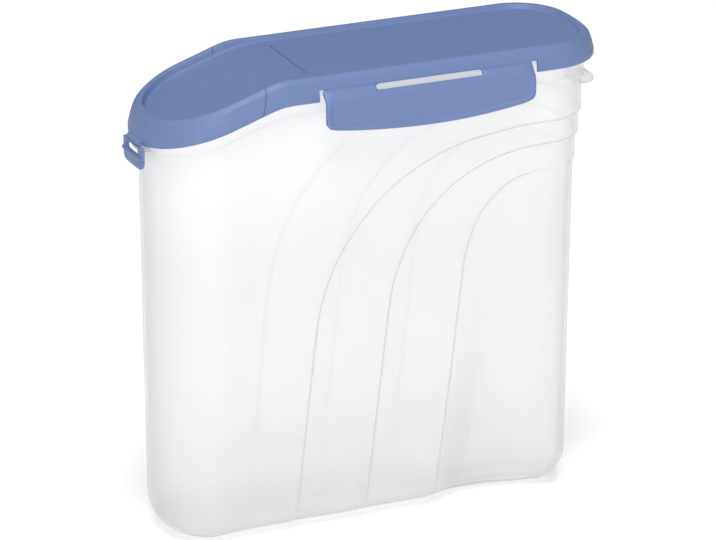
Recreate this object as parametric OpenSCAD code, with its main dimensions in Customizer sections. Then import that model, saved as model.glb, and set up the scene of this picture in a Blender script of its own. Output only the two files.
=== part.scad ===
// Cereal container with a flip spout.
// A translucent tub with a clip-on lid. The lid is one moulding whose flap,
// front clip and two side latches swing on thin film hinges, so each of them
// is drawn as its own piece with a narrow gap where the film would bend.
//
// The spout points along -X, the side latches face -Y and +Y, and the tub
// stands on Z = 0. Every outline is the same plan curve, moved in or out.

/* [Tub] */
// Length over the tub's rim
tub_l = 229; // [215:1:280]
// Width over the tub's rim
tub_w = 68; // [60:1:90]
// Height of the rim along its level part
tub_h = 238; // [190:1:300]
// Wall thickness of the tub
tub_wall = 1.8; // [1.4:0.1:2.2]
// Thickness of the tub's floor
floor_t = 2.2; // [1.6:0.1:3.5]
// Draft of the tub's walls, in degrees
tub_draft = 1; // [0.3:0.1:1.2]
// Radius of the rounded bottom edge
bottom_r = 18; // [8:1:18]
// Height of the foot that the tub stands on
foot_h = 0.6; // [0.4:0.1:1.5]

/* [Plan corners] */
// Corner radius at the spout end
front_corner_r = 31; // [25:1:32]
// Radius of the bowed spout end
front_end_r = 130; // [80:1:200]
// Corner radius at the rear end
rear_corner_r = 25; // [25:1:32]
// Radius of the bowed rear end
rear_end_r = 86; // [60:1:160]

/* [Spout slope] */
// Where the rim starts to fall, in front of the middle
bend_x = 58; // [50:1:70]
// Fall of the rim towards the spout, in degrees
slope_angle = 18.6; // [10:0.1:22]
// Length over which the rim curves into its slope
bend_l = 12; // [8:1:24]

/* [Rim collar] */
// How far the collar stands out from the wall
collar_out = 1.2; // [0.8:0.1:1.6]
// Depth of the collar's lower edge below the rim
collar_low = 16; // [12:0.5:18]
// Depth of the collar's upper edge below the rim
collar_high = 6; // [4:0.5:8]

/* [Lid] */
// Height of the ridge above the tub's rim
ridge_h = 3; // [2:0.1:4]
// Width of the flat on top of the ridge
ridge_w = 2.8; // [2.2:0.1:3.2]
// How far the ridge stands outside the rim
ridge_out = 1; // [0.8:0.1:1.6]
// How far the skirt reaches below the rim
skirt_low = 9; // [7:0.5:10]
// How far the skirt's lower edge stands outside the rim
skirt_out = 5.6; // [5.2:0.1:6.5]
// How far the rounded shoulder stands outside the rim
shoulder_out = 4.6; // [4.2:0.1:5]
// Depth of that shoulder below the rim
shoulder_low = 3; // [2.5:0.1:4]
// Thickness of the lid's plate and walls
lid_t = 1.6; // [1.2:0.1:1.8]
// Depth of the plug wall below the rim
plug_low = 4; // [3:0.5:5]
// Sink of the plate below the ridge on the level part
plate_sink = 2.1; // [1:0.1:2.4]
// Extra sink of the plate on the sloping part
spout_sink = 1.8; // [0.5:0.1:2]

/* [Flap] */
// Distance of the flap's hinge line in front of the middle
flap_hinge_x = 39.6; // [34:0.1:44]
// Width of the flap's tongue at the hinge line
tongue_w = 47; // [36:1:52]
// Where the flap's skirt parts from the lid's skirt, in front of the middle
split_x = 65.5; // [63:0.5:72]
// Lean of that parting line, in degrees
split_lean = 13; // [0:1:20]

/* [Side latches] */
// Length of each latch
latch_l = 110; // [90:1:112]
// Middle of the latches behind the tub's middle
latch_x = 19.8; // [10:0.1:25]
// Width of the notch at each end of a latch
notch_w = 3.2; // [2:0.1:4]
// Depth of the hinge line below the rim
latch_hinge_low = 3.1; // [2.5:0.1:4]
// Depth of the latch's lowest point below the rim
latch_low = 26.5; // [24:0.5:32]
// How far the latch's face stands outside the rim
latch_out = 9.8; // [9:0.1:11]
// Rise of the latch's lower edge from its middle to its ends
latch_bow = 5.2; // [2:0.1:6]
// Corner radius of the latch's lower corners
latch_corner_r = 4; // [2:0.5:6]
// Length of the slot under the hinge line
slot_l = 56; // [30:1:70]
// Height of that slot
slot_h = 3; // [2:0.1:4]
// Inset of the catch rib from the latch's ends
catch_inset = 8; // [5:1:20]
// Thickness of the catch rib
catch_t = 1.5; // [1.2:0.1:2]

/* [Front clip] */
// Width of the clip
clip_w = 25; // [20:1:32]
// Height of the clip's plate
clip_h = 11.6; // [11:0.1:15]
// Corner radius of the clip's lower corners
clip_corner_r = 4; // [2:0.5:6]
// Width of the window in the clip
window_w = 12; // [8:0.5:14]
// Height of that window
window_h = 3.4; // [2.5:0.1:3.8]
// Height of the finger ledge under the window
ledge_h = 1.5; // [1:0.1:2]
// How far the ledge stands out from the clip
ledge_out = 1.3; // [0.8:0.1:2]

/* [Rear lug] */
// Width of the lug
lug_w = 14; // [8:1:20]
// Length of the lug from the tub's wall
lug_l = 10; // [8:0.5:16]
// Thickness of the lug
lug_t = 5; // [3:0.5:7]
// Depth of the lug's top below the rim
lug_low = 25; // [22:1:40]

/* [Clearances] */
// Clearance between the tub and the lid, and where a film hinge would bend
gap = 0.3; // [0.2:0.05:0.4]
// Width of the visible seam round the flap
seam = 0.6; // [0.4:0.1:1]

/* [Hidden] */
$fn = 64;
lid_color = "#7083b0";
tub_color = [0.91, 0.93, 0.94, 0.45];
half_l = tub_l / 2;
half_w = tub_w / 2;
corner_steps = 6;
end_steps = 4;
bend_steps = 4;
round_step = 22.5;
plate_steps = 40;
slope = tan(slope_angle);
// The bottom round stays inside the plan's corner radius.
bottom_inset = tub_h * tan(tub_draft);
corner_r = min(front_corner_r, rear_corner_r);
outer_round = min(bottom_r, corner_r - bottom_inset - 3);
inner_round = outer_round - tub_wall;
far = 2 * (tub_l + tub_w + tub_h);
// Section of the lid: its own height above and below the rim.
plug_out = -tub_wall - gap;
plug_taper = 1.5;
plug_in = plug_out - 1.1;
ridge_in = ridge_out - ridge_w;
shoulder_run = shoulder_out - ridge_out;
seat = gap;
// Latches: the hinge line lies on the skirt's outer face.
hinge_out = shoulder_out
    + (skirt_out - shoulder_out) * (latch_hinge_low - shoulder_low) / (skirt_low - shoulder_low);
hinge_y = half_w + hinge_out;
hinge_z = tub_h - latch_hinge_low;
latch_y = half_w + latch_out;
latch_z = tub_h - latch_low;
catch_y = half_w + collar_out + gap;
catch_z = tub_h - collar_low - 2 * gap;
latch_arc_r = (pow(latch_l / 2, 2) + pow(latch_bow, 2)) / (2 * latch_bow);
lip_h = 2.1;
lip_out = 0.7;
// Front clip: it hangs below the flap's skirt, outside the tub's catch.
clip_out = skirt_out + gap;
clip_face = clip_out + lid_t;
clip_x = -half_l - clip_face;
clip_z = rim_z(clip_x) - skirt_low + gap;
clip_mid_z = clip_z - 3.1;

// Height of the rim above the base at a station along the tub.
function rim_z(x) =
    let (d = -bend_x - x, b = bend_l / 2)
    tub_h - (d <= -b ? 0 : d >= b ? d * slope : pow(d + b, 2) * slope / (4 * b));

// Smooth step from 0 at a to 1 at b.
function ease(x, a, b) =
    let (t = min(1, max(0, (x - a) / (b - a))))
    t * t * (3 - 2 * t);

// Height of the plate's upper face.
function plate_z(x) =
    rim_z(x) + ridge_h - plate_sink - spout_sink * ease(-x, flap_hinge_x, split_x);

// Points [x, y, outward x, outward y] along an arc.
function arc(cx, cy, r, from, to, steps) =
    [for (i = [0:steps])
        let (a = from + (to - from) * i / steps)
        [cx + r * cos(a), cy + r * sin(a), cos(a), sin(a)]];

function after_first(list) = [for (i = [1:len(list) - 1]) list[i]];

// One bowed end of the plan, towards +X: a corner, the bow and a corner.
function plan_end(corner, bow) =
    let (oy = half_w - corner,
         ox = half_l - bow + sqrt(pow(bow - corner, 2) - oy * oy),
         turn = atan2(oy, ox - half_l + bow))
    concat(arc(ox, -oy, corner, -90, -turn, corner_steps),
           after_first(arc(half_l - bow, 0, bow, -turn, turn, end_steps)),
           after_first(arc(ox, oy, corner, turn, 90, corner_steps)));

// The whole plan curve, anticlockwise from the near side of the spout end.
bend_stations = [for (i = [0:bend_steps]) -bend_x - bend_l / 2 + bend_l * i / bend_steps];
rear_end = plan_end(rear_corner_r, rear_end_r);
front_end = [for (p = plan_end(front_corner_r, front_end_r)) [-p[0], p[1], -p[2], p[3]]];
plan = concat([for (x = bend_stations) [x, -half_w, 0, -1]],
              rear_end,
              [for (i = [0:bend_steps]) [bend_stations[bend_steps - i], half_w, 0, 1]],
              [for (i = [0:len(front_end) - 1]) front_end[len(front_end) - 1 - i]]);

// A plan point moved outwards.
function moved(p, out) = [p[0] + out * p[2], p[1] + out * p[3]];

// A point at a distance outside the plan curve and a height above the rim.
function rim_point(p, out, up) =
    let (q = moved(p, out))
    [q[0], q[1], rim_z(q[0]) + up];

// A point of the tapering wall: a distance outside the wall, at a height.
function wall_point(p, out, z) =
    let (q = moved(p, out - (rim_z(p[0]) - z) * tan(tub_draft)))
    [q[0], q[1], z];

// The tub's section at one plan point, up the outside and down the inside.
function tub_section(p) =
    let (rim = rim_z(p[0]), low = foot_h + floor_t)
    concat([for (a = [0:round_step:90])
                wall_point(p, -outer_round * (1 - sin(a)), foot_h + outer_round * (1 - cos(a)))],
           [wall_point(p, 0, rim - collar_low - collar_out),
            wall_point(p, collar_out, rim - collar_low),
            wall_point(p, collar_out, rim - collar_high),
            wall_point(p, 0, rim - collar_high + collar_out),
            rim_point(p, 0, 0),
            rim_point(p, -tub_wall, 0)],
           [for (a = [90:-round_step:0])
                wall_point(p, -tub_wall - inner_round * (1 - sin(a)), low + inner_round * (1 - cos(a)))]);

// The lid's rim section: skirt, ridge and plug wall round the tub's rim.
function lid_section(p) =
    [rim_point(p, skirt_out - lid_t, -skirt_low),
     rim_point(p, skirt_out, -skirt_low),
     rim_point(p, shoulder_out, -shoulder_low),
     rim_point(p, ridge_out + shoulder_run * 0.55, ridge_h - shoulder_run * 0.35),
     rim_point(p, ridge_out, ridge_h),
     rim_point(p, ridge_in, ridge_h),
     rim_point(p, plug_in, ridge_h - plate_sink + 0.4),
     rim_point(p, plug_in - 2, -plug_low),
     rim_point(p, plug_out - plug_taper, -plug_low),
     rim_point(p, plug_out, seat),
     rim_point(p, ridge_out, seat),
     rim_point(p, shoulder_out - lid_t, -shoulder_low)];

// Triangles between neighbouring columns of a grid of points.
function grid_faces(columns, rows, closed_rows) =
    [for (i = [0:columns - 1])
        for (j = [0:closed_rows ? rows - 1 : rows - 2])
            let (next = (i + 1) % columns, up = (j + 1) % rows,
                 a = i * rows + j, b = i * rows + up,
                 c = next * rows + up, d = next * rows + j)
            each [[a, b, c], [a, c, d]]];

module tub_shell() {
    grid = [for (p = plan) tub_section(p)];
    columns = len(grid);
    rows = len(grid[0]);
    polyhedron(points = [for (column = grid) each column],
               faces = concat(grid_faces(columns, rows, false),
                              [[for (i = [0:columns - 1]) i * rows]],
                              [[for (i = [columns - 1:-1:0]) i * rows + rows - 1]]));
}

module lid_rim() {
    grid = [for (p = plan) lid_section(p)];
    polyhedron(points = [for (column = grid) each column],
               faces = grid_faces(len(grid), len(grid[0]), true));
}

// A plan outline, moved outwards.
module outline(out) {
    polygon([for (p = plan) moved(p, out)]);
}

// A shape drawn in X and Z, spread along Y.
module across(width) {
    rotate([90, 0, 0])
        linear_extrude(width, center = true)
            children();
}

// The lid's plate, which follows the rim's slope.
module lid_plate() {
    reach = half_l + skirt_out;
    stations = [for (i = [0:plate_steps]) -reach + 2 * reach * i / plate_steps];
    intersection() {
        linear_extrude(far)
            outline(plug_in - 0.2);
        across(far)
            polygon(concat([for (x = stations) [x, plate_z(x)]],
                           [for (i = [plate_steps:-1:0]) [stations[i], plate_z(stations[i]) - lid_t]]));
    }
}

// Everything in front of the flap's parting line, moved forward by a margin.
module spout_side(margin) {
    lean = tan(split_lean);
    top = tub_h + ridge_h + 10;
    across(far)
        polygon([[-far, 0],
                 [-split_x - margin - tub_h * lean, 0],
                 [-split_x - margin + 10 * lean, top],
                 [-far, top]]);
}

// Plan of the flap's tongue, grown by a margin.
module tongue(margin) {
    root = tongue_w / 2 + margin;
    front = half_w + plug_in - 0.8 + margin;
    linear_extrude(far)
        polygon([[-flap_hinge_x - gap + margin, -root],
                 [-flap_hinge_x - gap + margin, root],
                 [-split_x - 6, front],
                 [-split_x - 6, -front]]);
}

// The stretch of skirt that each latch takes the place of.
module latch_bay() {
    length = latch_l + 2 * notch_w;
    for (side = [-1, 1])
        translate([latch_x - length / 2, side > 0 ? half_w + gap : -far - half_w - gap, 0])
            cube([length, far, hinge_z]);
}

module container() {
    color(tub_color) {
        tub_shell();
        foot();
        catch_lug();
        rear_lug();
    }
}

// Flat foot under the rounded bottom.
module foot() {
    linear_extrude(foot_h + floor_t / 2)
        outline(-outer_round - bottom_inset - 1.5);
}

// Wedge on the tub's front that shows in the clip's window.
module catch_lug() {
    tip = -half_l - clip_out + gap;
    root = -half_l + tub_wall / 2;
    low = clip_mid_z - window_h / 2 + gap;
    high = clip_mid_z + window_h / 2 - gap;
    across(window_w - 2 * gap)
        polygon([[tip, low], [tip, high - 0.8], [root, high + 0.8], [root, low]]);
}

// Drooping shelf on the tub's rear end.
module rear_lug() {
    top = tub_h - lug_low;
    root = half_l - tub_wall - bottom_inset * lug_low / tub_h;
    tip = half_l + lug_l;
    nose = lug_t * 0.7;
    across(lug_w) {
        polygon([[root, top], [tip - nose, top], [tip - nose, top - lug_t], [root, top - lug_t]]);
        translate([tip - nose, top - nose])
            circle(nose);
        translate([tip - 2 * nose, top - nose - lug_t / 2])
            square([nose, lug_t / 2]);
    }
}

module lid_frame() {
    color(lid_color)
        difference() {
            union() {
                lid_rim();
                lid_plate();
            }
            spout_side(0);
            tongue(seam);
            latch_bay();
        }
}

module spout_flap() {
    color(lid_color) {
        intersection() {
            lid_rim();
            spout_side(seam);
        }
        intersection() {
            lid_plate();
            union() {
                spout_side(seam);
                tongue(0);
            }
        }
        clip_root();
    }
}

// Brow on the flap's skirt that the clip hangs from.
module clip_root() {
    skirt_x = -half_l - skirt_out;
    across(clip_w - 2 * clip_corner_r)
        polygon([[skirt_x + 1, clip_z + gap],
                 [clip_x, clip_z + gap],
                 [clip_x, clip_z + gap + 0.8],
                 [skirt_x + 1.2, clip_z + 3.8]]);
}

// The clip's face: a plate with round lower corners.
module clip_face_shape() {
    r = clip_corner_r;
    bottom = clip_z - clip_h;
    translate([-clip_w / 2, bottom + r])
        square([clip_w, clip_h - r]);
    translate([r - clip_w / 2, bottom])
        square([clip_w - 2 * r, r]);
    for (side = [-1, 1])
        translate([side * (clip_w / 2 - r), bottom + r])
            circle(r);
}

module front_clip() {
    color(lid_color)
        difference() {
            union() {
                intersection() {
                    rotate([90, 0, 90])
                        linear_extrude(far, center = true)
                            clip_face_shape();
                    clip_band(clip_out, clip_face);
                }
                intersection() {
                    ledge_top = clip_mid_z - window_h / 2 - 0.6;
                    translate([-far, -clip_w / 2 - 1, ledge_top - ledge_h])
                        cube([far, clip_w + 2, ledge_h]);
                    clip_band(clip_out + lid_t / 2, clip_face + ledge_out);
                }
            }
            translate([-far, -window_w / 2, clip_mid_z - window_h / 2])
                cube([far, window_w, window_h]);
        }
}

// A wall that follows the plan of the spout end.
module clip_band(inner, outer) {
    difference() {
        linear_extrude(far)
            outline(outer);
        linear_extrude(far)
            outline(inner);
        translate([-half_l / 2, -far / 2, -1])
            cube([far, far, far]);
    }
}

// The latch's face, seen from its side: straight ends and a bowed lower edge.
module latch_face_shape() {
    r = latch_corner_r;
    end_z = latch_z + latch_bow;
    difference() {
        intersection() {
            translate([latch_x, latch_z + latch_arc_r])
                circle(latch_arc_r, $fn = 360);
            translate([latch_x - latch_l / 2, latch_z])
                square([latch_l, hinge_z - gap - latch_z]);
        }
        for (side = [-1, 1])
            translate([latch_x + side * (latch_l / 2 - r / 2), end_z + r / 2])
                difference() {
                    square(r + 0.01, center = true);
                    translate([-side * r / 2, r / 2])
                        circle(r);
                }
    }
}

// One latch at the far side: a flared plate with a catch rib and a lower lip.
module latch() {
    top = hinge_z - gap;
    bend = top - (latch_out - hinge_out) - 0.3;
    low = latch_z - 1;
    difference() {
        union() {
            intersection() {
                translate([latch_x, 0, 0])
                    rotate([90, 0, 90])
                        linear_extrude(latch_l, center = true)
                            polygon([[hinge_y - lid_t + 0.2, top],
                                     [hinge_y, top],
                                     [latch_y, bend],
                                     [latch_y + 0.4, low],
                                     [latch_y + 0.4 - lid_t, low],
                                     [latch_y - lid_t, bend - lid_t / 2],
                                     [hinge_y - lid_t + 0.2, top - lid_t]]);
                across(far)
                    latch_face_shape();
            }
            lip();
            translate([latch_x - latch_l / 2 + catch_inset, catch_y, catch_z - catch_t])
                cube([latch_l - 2 * catch_inset, latch_y - lid_t / 2 - catch_y, catch_t]);
        }
        slot();
    }
}

// Finger lip along the latch's lower edge.
module lip() {
    intersection() {
        across(far)
            difference() {
                latch_face_shape();
                translate([latch_x, latch_z + latch_arc_r])
                    circle(latch_arc_r - lip_h, $fn = 360);
            }
        translate([latch_x - latch_l / 2, latch_y - lid_t / 2, latch_z - 1])
            cube([latch_l, lid_t / 2 + 0.3 + lip_out, latch_bow + lip_h + 2]);
    }
}

// Slot under the hinge line, open to the skirt above it.
module slot() {
    r = slot_h / 3;
    low = hinge_z - gap - slot_h;
    translate([latch_x - slot_l / 2, hinge_y - 4, low + r])
        cube([slot_l, 8, slot_h]);
    translate([latch_x - slot_l / 2 + r, hinge_y - 4, low])
        cube([slot_l - 2 * r, 8, slot_h]);
    for (side = [-1, 1])
        translate([latch_x + side * (slot_l / 2 - r), hinge_y - 4, low + r])
            rotate([-90, 0, 0])
                cylinder(8, r, r);
}

module near_latch() {
    color(lid_color)
        mirror([0, 1, 0])
            latch();
}

module far_latch() {
    color(lid_color)
        latch();
}

container();
lid_frame();
spout_flap();
front_clip();
near_latch();
far_latch();
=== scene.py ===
# %% [markdown]
# # A cereal container with a flip spout
#
# A translucent tub, moulded in natural polypropylene, and a lid in one blue
# moulding whose flap, front clip and two side latches swing on thin film
# hinges. This lesson builds the looks of each of them in Blender around a
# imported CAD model, which already says how big they are and how they move.
#
# Nearly everything on the object follows one closed outline, so the lesson
# starts with that curve and then wraps the pieces round it.

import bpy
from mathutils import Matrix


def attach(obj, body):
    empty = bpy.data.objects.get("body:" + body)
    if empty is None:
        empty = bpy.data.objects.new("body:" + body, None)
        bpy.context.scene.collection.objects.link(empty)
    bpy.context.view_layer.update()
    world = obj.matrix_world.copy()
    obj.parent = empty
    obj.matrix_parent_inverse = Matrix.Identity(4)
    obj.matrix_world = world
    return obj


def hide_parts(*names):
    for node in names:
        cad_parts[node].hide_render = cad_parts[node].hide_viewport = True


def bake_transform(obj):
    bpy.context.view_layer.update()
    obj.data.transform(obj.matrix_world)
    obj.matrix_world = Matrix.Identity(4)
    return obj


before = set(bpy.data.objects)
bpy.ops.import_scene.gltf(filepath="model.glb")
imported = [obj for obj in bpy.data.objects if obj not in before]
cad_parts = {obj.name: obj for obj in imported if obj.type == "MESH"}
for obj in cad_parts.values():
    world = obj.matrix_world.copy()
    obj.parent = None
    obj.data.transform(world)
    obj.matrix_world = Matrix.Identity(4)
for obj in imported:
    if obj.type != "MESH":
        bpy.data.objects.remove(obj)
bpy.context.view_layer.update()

# %% Libraries
import math

import bmesh
import bpy
import numpy as np
from mathutils import Vector
from mathutils.geometry import delaunay_2d_cdt

MM = 0.001

# %% [markdown]
# ## The sizes that the pieces share
#
# The lesson works in millimetres, as the mould maker would, and only turns
# them into Blender's metres when a mesh is made. These are the sizes of the
# part itself: a rim 229 by 68 mm that stands 238 mm high and falls away
# towards the spout.

# %% Sizes of the tub and the lid, in millimetres
HALF_L = 114.5
HALF_W = 34.0
SPOUT_CORNER, SPOUT_BOW = 31.0, 130.0
REAR_CORNER, REAR_BOW = 25.0, 86.0
RIM = 238.0
WALL = 1.8
DRAFT = math.tan(math.radians(1.0))
FOOT = 0.6
FLOOR = 2.2
ROUND = 18.0
BEND_X = 58.0
SLOPE = math.tan(math.radians(18.6))
BEND_HALF = 6.0
RIDGE = 3.0
LID_T = 1.6
PLATE_SINK = 2.1
SPOUT_SINK = 1.8
HINGE_X = 39.6
SPLIT_X = 65.5
LEAN = math.tan(math.radians(13.0))
LATCH_X = 19.8
LATCH_L = 110.0
NOTCH_FRONT, NOTCH_REAR = 3.7, 3.2
HINGE_Z = 234.9
CLIP_Z = 207.76
CLIP_FACE = 7.5
print("Lid hinge at", -HINGE_X, "mm, latches centred at", LATCH_X, "mm")

# %% [markdown]
# ## One outline for everything
#
# Seen from above, the rim has two straight sides and two softly bowed ends.
# Each end is three arcs: a corner, the bow and a corner. A circle for the bow
# and smaller circles for the corners meet without a kink when the corner's
# centre lies on the line between the bow's centre and the point where they
# touch, and the square root below finds that place.
#
# The curve is kept as a list of stations: a point, the direction that faces
# outwards there, and the distance walked along the curve. Only the near half
# is stored, from the middle of the spout end to the middle of the rear end.
# The far half is its mirror image.

# %% The near half of the plan curve
def arc(cx, cy, radius, start, stop, steps):
    """Points [x, y, outward x, outward y] along an arc."""
    turn = np.radians(np.linspace(start, stop, steps + 1))
    nx, ny = np.cos(turn), np.sin(turn)
    return np.column_stack([cx + radius * nx, cy + radius * ny, nx, ny])


def bowed_end(corner, bow):
    """From the straight side to the middle of the end that faces +X."""
    oy = HALF_W - corner
    ox = HALF_L - bow + math.sqrt((bow - corner) ** 2 - oy ** 2)
    turn = math.degrees(math.atan2(oy, ox - HALF_L + bow))
    steps = round(bow * math.radians(turn) / 1.8)
    return np.vstack([arc(ox, -oy, corner, -90, -turn, 26),
                      arc(HALF_L - bow, 0, bow, -turn, 0, steps)[1:]])


def near_half(extra=()):
    """Stations along the near half, spout to rear, with extra x values on the straight."""
    front = bowed_end(SPOUT_CORNER, SPOUT_BOW)[::-1] * [-1, 1, -1, 1]
    rear = bowed_end(REAR_CORNER, REAR_BOW)
    start, stop = front[-1, 0], rear[0, 0]
    xs = np.linspace(start, stop, 62)[1:-1]
    for x in extra:
        xs = xs[np.abs(xs - x) > 0.9]
    xs = np.sort(np.concatenate([xs, np.array(extra, dtype=float)]))
    straight = np.column_stack([xs, np.full_like(xs, -HALF_W), np.zeros_like(xs), -np.ones_like(xs)])
    path = np.vstack([front, straight, rear])
    walked = np.concatenate([[0], np.cumsum(np.hypot(*np.diff(path[:, :2], axis=0).T))])
    return np.column_stack([path, walked])


PLAN = near_half()
END = PLAN[-1, 4]
print("Half the rim is %.1f mm long, in %d stations" % (END, len(PLAN)))


# %% Reading the curve, and the height of the rim
def station(s):
    """Points and outward directions at distances along the near half."""
    x, y, nx, ny = (np.interp(s, PLAN[:, 4], PLAN[:, k]) for k in range(4))
    size = np.hypot(nx, ny)
    return x, y, nx / size, ny / size


def rim_z(x):
    """Height of the rim: level, then a short curve, then a straight fall."""
    d = -BEND_X - np.asarray(x, dtype=float)
    curve = (d + BEND_HALF) ** 2 * SLOPE / (4 * BEND_HALF)
    return RIM - np.where(d <= -BEND_HALF, 0, np.where(d >= BEND_HALF, d * SLOPE, curve))


def ease(x, a, b):
    """Smooth step from 0 at a to 1 at b."""
    t = np.clip((np.asarray(x, dtype=float) - a) / (b - a), 0, 1)
    return t * t * (3 - 2 * t)


def plate_z(x):
    """Height of the lid's plate, which sinks a little further on the slope."""
    return rim_z(x) + RIDGE - PLATE_SINK - SPOUT_SINK * ease(-np.asarray(x), HINGE_X, SPLIT_X)


print("Rim height at the spout: %.1f mm" % rim_z(-HALF_L))


# %% [markdown]
# ## From numbers to meshes
#
# Most pieces below end as a list of points and faces. One helper turns them
# into a Blender mesh: it welds points that coincide, drops faces that have
# shrunk to nothing, makes the normals agree and marks edges that turn sharply,
# so that soft curves shade smoothly and moulded edges stay crisp.

# %% Points and faces into an object
def make_mesh(name, points, faces, finish, body, sharp=32.0):
    bm = bmesh.new()
    verts = [bm.verts.new(Vector(p) * MM) for p in points]
    for face in faces:
        corners = list(dict.fromkeys(int(k) for k in face))
        if len(corners) > 2:
            try:
                bm.faces.new([verts[k] for k in corners])
            except ValueError:
                pass
    bmesh.ops.remove_doubles(bm, verts=bm.verts, dist=0.004 * MM)
    bmesh.ops.dissolve_degenerate(bm, edges=bm.edges, dist=0.003 * MM)
    loose = [v for v in bm.verts if not v.link_faces]
    bmesh.ops.delete(bm, geom=loose, context="VERTS")
    bmesh.ops.recalc_face_normals(bm, faces=bm.faces)
    return finish_mesh(name, bm, finish, body, sharp)


def finish_mesh(name, bm, finish, body, sharp=32.0):
    """Smooth shading with sharp edges, a material and the body it rides on."""
    for face in bm.faces:
        face.smooth = True
    # turn: how sharply the surface turns at each point. The milky finish uses it for painted shade along
    # creases.
    turn = bm.verts.layers.float.new("turn")
    for vert in bm.verts:
        angles = [e.calc_face_angle() for e in vert.link_edges if len(e.link_faces) == 2]
        vert[turn] = min(1.0, max(0.0, math.degrees(max(angles, default=0.0)) - 9.0) / 25.0)
    for edge in bm.edges:
        edge.smooth = len(edge.link_faces) != 2 or edge.calc_face_angle() < math.radians(sharp)
    mesh = bpy.data.meshes.new(name)
    bm.to_mesh(mesh)
    bm.free()
    mesh.materials.append(finish)
    piece = bpy.data.objects.new(name, mesh)
    bpy.context.scene.collection.objects.link(piece)
    if body:
        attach(piece, body)
    print("%-18s %6d faces" % (name, len(mesh.polygons)))
    return piece


def grid_faces(columns, rows, closed):
    """Quads between neighbouring columns of a grid of points."""
    last = columns if closed else columns - 1
    return [[i * rows + j, i * rows + j + 1, (i + 1) % columns * rows + j + 1, (i + 1) % columns * rows + j]
            for i in range(last) for j in range(rows - 1)]


def tube_faces(rings, count):
    """Quads of a closed section carried along a path, with both ends closed."""
    faces = [[i * count + j, i * count + (j + 1) % count,
              (i + 1) * count + (j + 1) % count, (i + 1) * count + j]
             for i in range(rings - 1) for j in range(count)]
    return faces + [list(range(count)), [(rings - 1) * count + j for j in range(count)]]


class Parts:
    """Collects several patches of points and faces into one mesh."""

    def __init__(self):
        self.points = []
        self.faces = []

    def add(self, points, faces):
        first = len(self.points)
        self.points.extend(np.asarray(points, dtype=float).reshape(-1, 3).tolist())
        self.faces.extend([[first + k for k in face] for face in faces])

    def mesh(self, name, finish, body):
        return make_mesh(name, self.points, self.faces, finish, body, sharp=40)


# %% [markdown]
# ## Finishes
#
# Moulded plastic is never one flat colour. The lid has a fine satin grain from
# the mould and a very faint cloudiness, and the tub is milky: it scatters most
# of the light and lets the rest through, so the far wall shows faintly.
#
# Shader maths reads best as ordinary arithmetic, so a small class wraps a
# socket and gives it + - and *, from either side, so that 1 - mask works too.
# Any other node comes from one method, which takes its settings first and then
# what goes into its sockets.

# %% A socket that understands arithmetic
class Value:
    def __init__(self, paint, socket):
        self.paint = paint
        self.socket = socket

    def math(self, operation, a, b):
        return self.paint.node("Math", {"operation": operation}, {0: a, 1: b})

    def __add__(self, other):
        return self.math("ADD", self, other)

    def __radd__(self, other):
        return self.math("ADD", other, self)

    def __sub__(self, other):
        return self.math("SUBTRACT", self, other)

    def __rsub__(self, other):
        return self.math("SUBTRACT", other, self)

    def __mul__(self, other):
        return self.math("MULTIPLY", self, other)

    def __rmul__(self, other):
        return self.math("MULTIPLY", other, self)


# %% A material that is built one node at a time
class Paint:
    def __init__(self, name):
        self.material = bpy.data.materials.new(name)
        self.material.use_nodes = True
        self.tree = self.material.node_tree
        self.tree.nodes.clear()

    def node(self, kind, settings=None, sockets=None, out=0):
        made = self.tree.nodes.new("ShaderNode" + kind)
        for key, value in (settings or {}).items():
            setattr(made, key, value)
        for key, value in (sockets or {}).items():
            if isinstance(value, Value):
                self.tree.links.new(value.socket, made.inputs[key])
            else:
                made.inputs[key].default_value = value
        return Value(self, made.outputs[out]) if made.outputs else made

    def grain(self, place, scale, detail=2.0):
        """Noise that follows the object, as a value from about 0.3 to 0.7."""
        return self.node("TexNoise", {},
                         {"Vector": place, "Scale": scale, "Detail": detail, "Roughness": 0.55})

    def attribute(self, name):
        """A value between 0 and 1 that is stored with the mesh."""
        return self.node("Attribute", {"attribute_name": name}, out=2)

    def ramp(self, value, start, stop, first, last):
        """A smooth change from first at start to last at stop."""
        return self.node("MapRange", {"interpolation_type": "SMOOTHSTEP"},
                         {"Value": value, "From Min": start, "From Max": stop,
                          "To Min": first, "To Max": last})

    def blend(self, mask, a, b):
        """Colour a where the mask is 0 and b where it is 1."""
        return self.node("Mix", {"data_type": "RGBA"}, {0: mask, 6: a, 7: b}, out=2)

    def surface(self, **sockets):
        named = {key.replace("_", " "): value for key, value in sockets.items()}
        shader = self.node("BsdfPrincipled", {}, named)
        self.node("OutputMaterial", {}, {"Surface": shader})
        return self.material


# %% [markdown]
# ### The lid's satin blue
#
# The mould is spark eroded, which leaves a grain about a third of a millimetre
# wide. That grain goes into a Bump node, a broader noise varies the roughness,
# and the broadest one tints the blue by a few per cent, as the pigment does
# where the plastic flowed.

# %% Satin blue polypropylene
def satin_blue(name):
    paint = Paint(name)
    place = paint.node("TexCoord", out=3)
    cloud = paint.grain(place, 28.0)
    patches = paint.grain(place, 210.0)
    pores = paint.grain(place, 2600.0, 3.0)
    tint = paint.blend(cloud, (0.150, 0.212, 0.424, 1), (0.164, 0.230, 0.450, 1))
    rough = patches * 0.16 + pores * 0.08 + 0.36
    bump = paint.node("Bump", {}, {"Strength": 0.12, "Distance": 0.00012, "Height": pores + patches * 0.4})
    return paint.surface(Base_Color=tint, Roughness=rough, Normal=bump, IOR=1.49, Specular_IOR_Level=0.42)


BLUE = satin_blue("lid_satin_blue")
print("Made", BLUE.name)
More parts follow.
